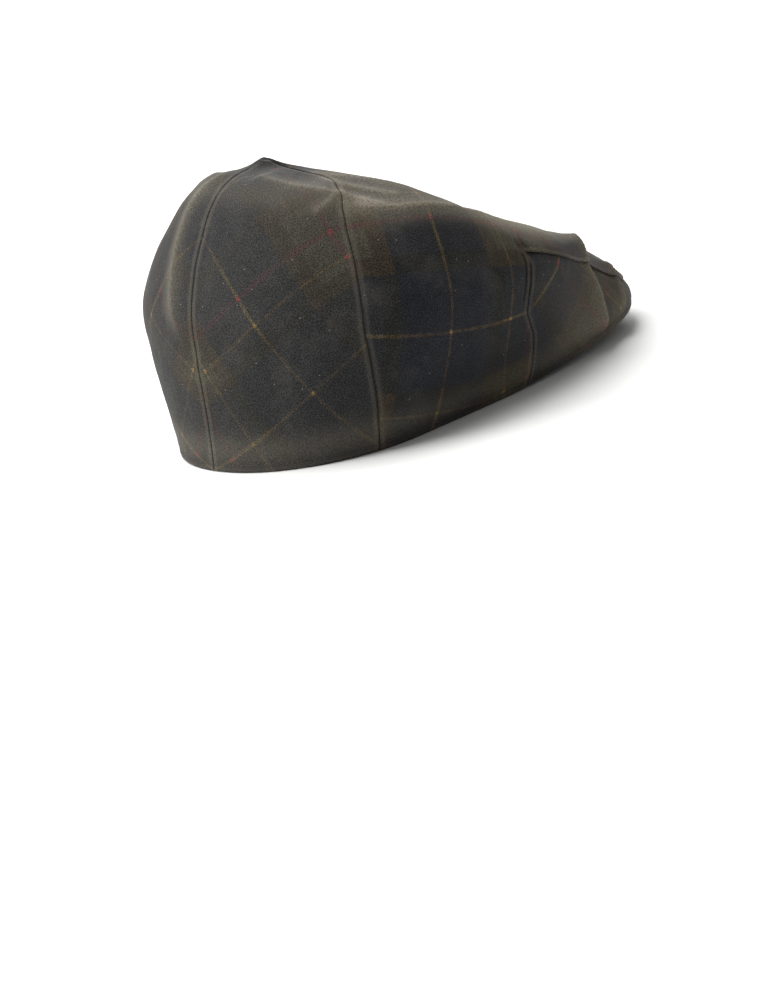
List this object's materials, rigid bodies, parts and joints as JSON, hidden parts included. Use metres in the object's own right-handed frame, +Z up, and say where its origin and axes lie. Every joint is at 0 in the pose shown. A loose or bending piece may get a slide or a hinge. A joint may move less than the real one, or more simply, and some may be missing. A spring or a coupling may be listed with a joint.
{
  "type": "flat cap",
  "caption": "Soft flat cap of checked waxed cloth with a rounded crown, a top that slopes down to a short stiff peak, and an open hollow for the head.",
  "frame": {"origin": "below the middle of the cap's outline, on the flat plane of the hem", "axes": "+Z up from the hem to the crown, +Y towards the back of the head, -Y towards the peak, -X the wearer's right"},
  "size_m": [0.2006, 0.2874, 0.1526],
  "materials": {
    "waxed_check_rear": "waxed cotton check cut on the bias, matt with a broad soft sheen",
    "waxed_check_top": "waxed cotton check on the straight grain, matt with a broad soft sheen",
    "waxed_check_peak": "waxed cotton check cut on the bias, matt, chalky along its creases",
    "under_cloth": "plain dark waxed cotton, matt"
  },
  "bodies": {
    "root": {"rear_panel_right": "waxed_check_rear", "rear_panel_left": "waxed_check_rear", "top_panel": "waxed_check_top", "peak_cover": "waxed_check_peak", "peak": "under_cloth"}
  },
  "joints": []
}
